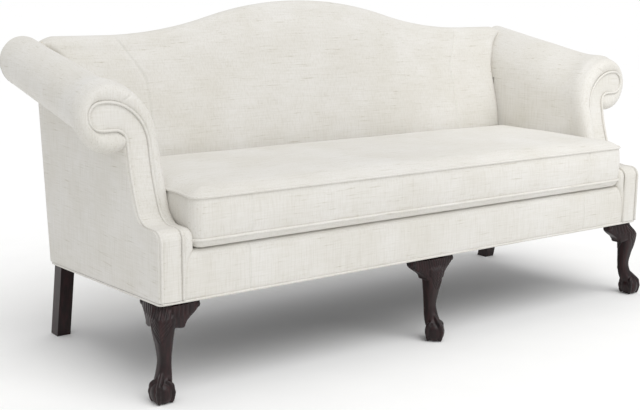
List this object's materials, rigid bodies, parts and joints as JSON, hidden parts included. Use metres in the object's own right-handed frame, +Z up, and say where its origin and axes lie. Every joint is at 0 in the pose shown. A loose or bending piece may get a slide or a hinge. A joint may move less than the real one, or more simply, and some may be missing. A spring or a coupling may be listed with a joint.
{
  "type": "camelback sofa",
  "caption": "Camelback sofa with rolled arms, a loose bench cushion, carved cabriole front legs with ball-and-claw feet and raked rear legs.",
  "frame": {"origin": "on the floor, under the middle of the whole sofa's bounding box", "axes": "+X across to the viewer's right, +Y to the back, +Z up"},
  "size_m": [2.016, 0.7708, 0.9659],
  "materials": {
    "cover_fabric": "ivory slubbed linen weave",
    "deck_fabric": "plain decking cloth",
    "dust_cloth": "black cambric",
    "jute": "woven jute",
    "foam": "foam and felt",
    "hardwood": "unfinished sawn hardwood",
    "leg_wood": "dark mahogany stain, satin to gloss",
    "steel": "plain"
  },
  "bodies": {
    "sofa": {"arm_burlap_left": "jute", "arm_burlap_right": "jute", "arm_facing_left": "cover_fabric", "arm_facing_right": "cover_fabric", "arm_stump_left": "hardwood", "arm_stump_right": "hardwood", "arm_tack_rail_left": "hardwood", "arm_tack_rail_right": "hardwood", "arm_top_rail_left": "hardwood", "arm_top_rail_right": "hardwood", "back_post_left": "hardwood", "back_post_right": "hardwood", "back_rail": "hardwood", "back_tack_rail": "hardwood", "back_upright_left": "hardwood", "back_upright_right": "hardwood", "back_webbing": "jute", "base_welt": "cover_fabric", "corner_blocks": "hardwood", "crest_rail": "hardwood", "deck_cloth": "deck_fabric", "deck_pad": "foam", "dust_cover": "dust_cloth", "front_border": "cover_fabric", "front_leg_centre": "leg_wood", "front_leg_left": "leg_wood", "front_leg_right": "leg_wood", "front_rail": "hardwood", "inside_arm_left": "cover_fabric", "inside_arm_right": "cover_fabric", "inside_back": "cover_fabric", "knee_brackets_centre": "leg_wood", "knee_brackets_left": "leg_wood", "knee_brackets_right": "leg_wood", "leg_bolts": "steel", "outside_arm_left": "cover_fabric", "outside_arm_right": "cover_fabric", "outside_back": "cover_fabric", "rear_leg_left": "leg_wood", "rear_leg_right": "leg_wood", "scroll_block_left": "hardwood", "scroll_block_right": "hardwood", "seat_springs": "steel", "seat_stretcher_left": "hardwood", "seat_stretcher_right": "hardwood", "side_rail_left": "hardwood", "side_rail_right": "hardwood", "spring_clips": "steel"},
    "seat_cushion": {"cushion_bottom_panel": "cover_fabric", "cushion_boxing": "cover_fabric", "cushion_core": "foam", "cushion_top_panel": "cover_fabric", "cushion_welt_lower": "cover_fabric", "cushion_welt_upper": "cover_fabric"}
  },
  "joints": [
    {"name": "cushion_lift", "type": "slide", "parent": "sofa", "child": "seat_cushion", "axis": [0, 0, 1], "range_m": [0, 0.3]}
  ]
}
